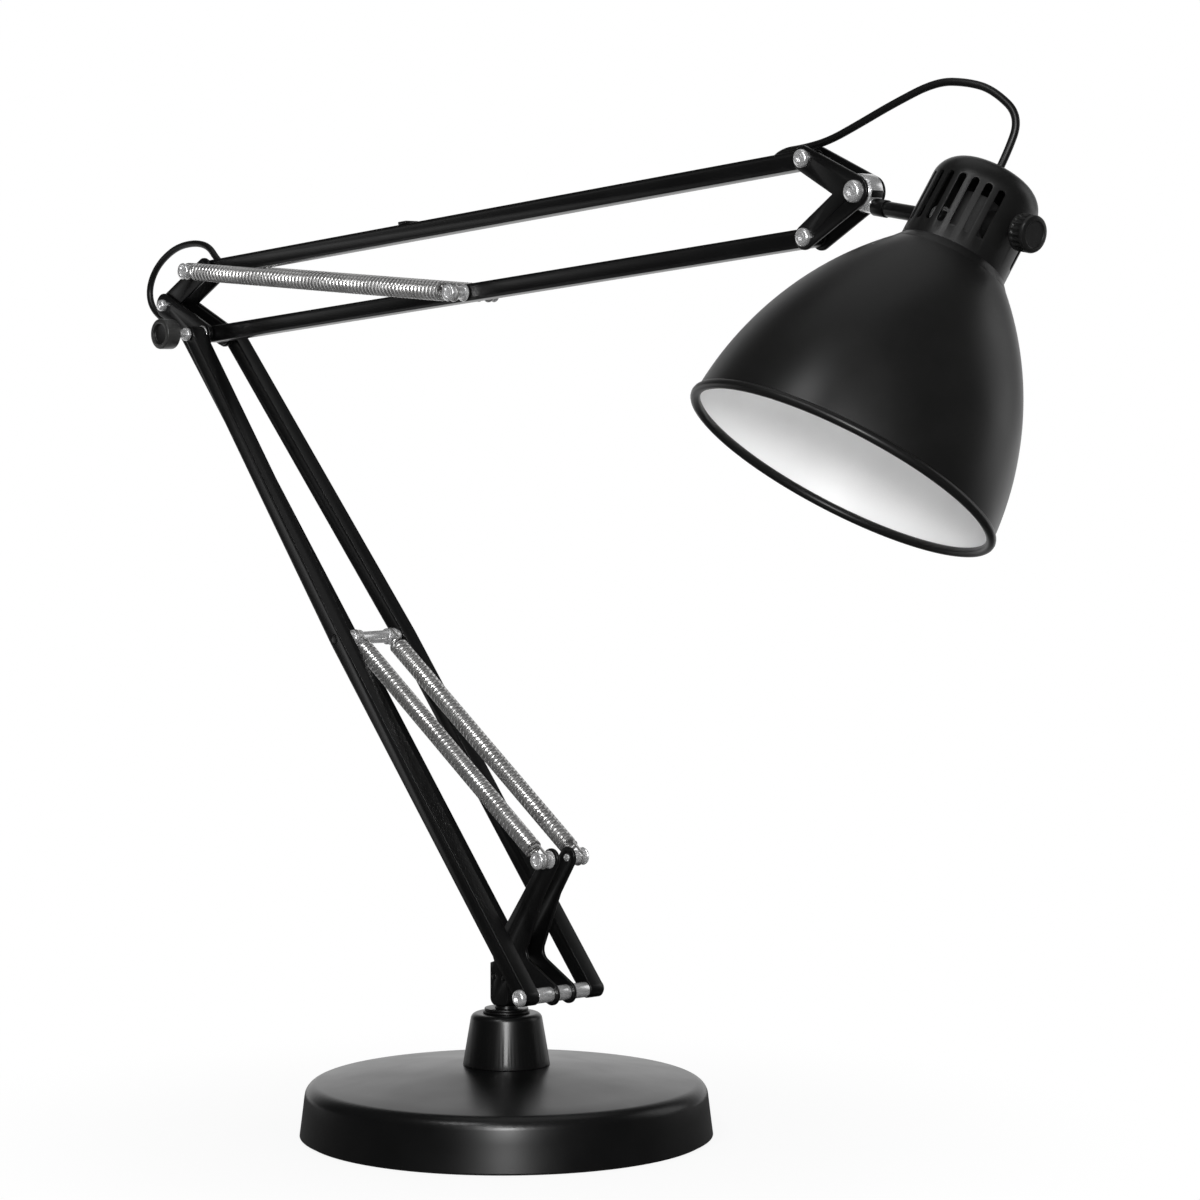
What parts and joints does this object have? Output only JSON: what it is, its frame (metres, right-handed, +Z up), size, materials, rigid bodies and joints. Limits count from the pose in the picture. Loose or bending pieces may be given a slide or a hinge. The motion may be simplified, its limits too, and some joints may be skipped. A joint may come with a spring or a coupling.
{
  "type": "architect lamp",
  "caption": "Black desk lamp on a round weighted base: two sprung channel-bar arms with parallel links and a bell shade on a tilting, rolling head.",
  "frame": {"origin": "middle of the underside of the base, on the surface it stands on", "axes": "+X forward in the arm plane towards the head, +Y across to the far side of the arms, +Z up"},
  "size_m": [0.7457, 0.255, 0.5676],
  "materials": {
    "black_paint": "satin black paint",
    "shade_paint": "satin black paint outside, white inside the shade",
    "steel": "bright zinc plate",
    "spring_steel": "drawn wire",
    "iron": "as cast",
    "pad_rubber": "matte",
    "black_plastic": "matte moulded",
    "holder_plastic": "matte moulded",
    "cord": "matte sheath"
  },
  "bodies": {
    "base": {"base_cover": "black_paint", "base_weight": "iron", "base_pad": "pad_rubber", "base_neck": "black_paint", "swivel_bush": "black_plastic", "swivel_washers": "black_paint"},
    "post": {"spindle": "black_paint", "spindle_clip": "steel", "post_block": "black_paint", "post_plate_near": "black_paint", "post_plate_far": "black_paint", "post_rivets": "black_paint", "link_pin": "black_paint", "axle": "steel", "axle_spacers": "steel", "axle_nuts": "steel", "lower_spring_spools": "steel"},
    "lower_arm": {"lower_bar_near": "black_paint", "lower_bar_far": "black_paint", "cross_bolt": "black_paint", "cross_sleeve": "steel", "elbow_bolt": "steel", "elbow_nuts": "steel", "elbow_washers": "steel", "lower_spring_near": "spring_steel", "lower_spring_far": "spring_steel"},
    "link": {"link_bar": "black_paint"},
    "elbow": {"elbow_plate_near": "black_paint", "elbow_plate_far": "black_paint", "elbow_strip_near": "black_paint", "elbow_strip_far": "black_paint", "rear_bolt": "steel", "crest_pin": "steel", "upper_spring_spools": "steel", "elbow_lead": "cord"},
    "clamp": {"clamp_knob": "black_plastic"},
    "upper_arm": {"upper_bar_lower": "black_paint", "anchor_spools": "steel", "upper_spring_near": "spring_steel", "upper_spring_far": "spring_steel"},
    "upper_link": {"upper_bar_upper": "black_paint", "arm_lead": "cord", "lead_clip": "black_paint"},
    "head_bracket": {"head_plate_near": "black_paint", "head_plate_far": "black_paint", "head_pins": "steel", "apex_bolt": "steel", "knuckle_washers": "steel", "head_lead_rear": "cord"},
    "knuckle": {"knuckle": "steel", "stem": "black_paint", "stem_nut": "steel"},
    "shade": {"cap": "shade_paint", "shade": "shade_paint", "lampholder": "holder_plastic", "holder_ring": "holder_plastic", "lead_grommet": "black_plastic", "switch_body": "black_plastic", "head_lead_front": "cord"},
    "switch": {"switch_knob": "black_plastic"}
  },
  "joints": [
    {"name": "base_swivel", "type": "hinge", "parent": "base", "child": "post", "pos_m": [0, 0, 0.07], "axis": [0, 0, 1], "range_deg": [-175, 175]},
    {"name": "lower_arm_tilt", "type": "hinge", "parent": "post", "child": "lower_arm", "pos_m": [0.045, 0, 0.085], "axis": [0, 1, 0], "range_deg": [-12, 55], "deforming": ["lower_spring_near", "lower_spring_far"]},
    {"name": "link_turn", "type": "hinge", "parent": "post", "child": "link", "pos_m": [0.005, 0, 0.103], "axis": [0, 1, 0], "range_deg": [-12, 55]},
    {"name": "elbow_turn", "type": "hinge", "parent": "lower_arm", "child": "elbow", "pos_m": [-0.26928, 0, 0.44781], "axis": [0, 1, 0], "range_deg": [-55, 12]},
    {"name": "clamp_turn", "type": "hinge", "parent": "lower_arm", "child": "clamp", "pos_m": [-0.26928, -0.036, 0.44781], "axis": [0, 1, 0], "range_deg": [-150, 150]},
    {"name": "upper_arm_lift", "type": "hinge", "parent": "elbow", "child": "upper_arm", "pos_m": [-0.26928, 0, 0.44781], "axis": [0, 1, 0], "range_deg": [-35, 35], "deforming": ["upper_spring_near", "upper_spring_far", "elbow_lead"]},
    {"name": "upper_link_turn", "type": "hinge", "parent": "elbow", "child": "upper_link", "pos_m": [-0.27078, 0, 0.48731], "axis": [0, 1, 0], "range_deg": [-35, 35]},
    {"name": "head_bracket_turn", "type": "hinge", "parent": "upper_arm", "child": "head_bracket", "pos_m": [0.23887, 0, 0.49128], "axis": [0, 1, 0], "range_deg": [-35, 35]},
    {"name": "head_tilt", "type": "hinge", "parent": "head_bracket", "child": "knuckle", "pos_m": [0.27437, 0, 0.51288], "axis": [0, 1, 0], "range_deg": [-60, 40], "deforming": ["head_lead_rear"]},
    {"name": "head_roll", "type": "hinge", "parent": "knuckle", "child": "shade", "pos_m": [0.34624, 0, 0.49492], "axis": [0.9877, 0, -0.1564], "range_deg": [-60, 120], "deforming": ["head_lead_front"]},
    {"name": "switch_turn", "type": "hinge", "parent": "shade", "child": "switch", "pos_m": [0.34624, 0, 0.49492], "axis": [0.9877, 0, -0.1564], "continuous": true}
  ],
  "couplings": [
    {"joint": "link_turn", "follows": "lower_arm_tilt", "ratio": 1},
    {"joint": "elbow_turn", "follows": "lower_arm_tilt", "ratio": -1},
    {"joint": "upper_link_turn", "follows": "upper_arm_lift", "ratio": 1},
    {"joint": "head_bracket_turn", "follows": "upper_arm_lift", "ratio": -1}
  ]
}
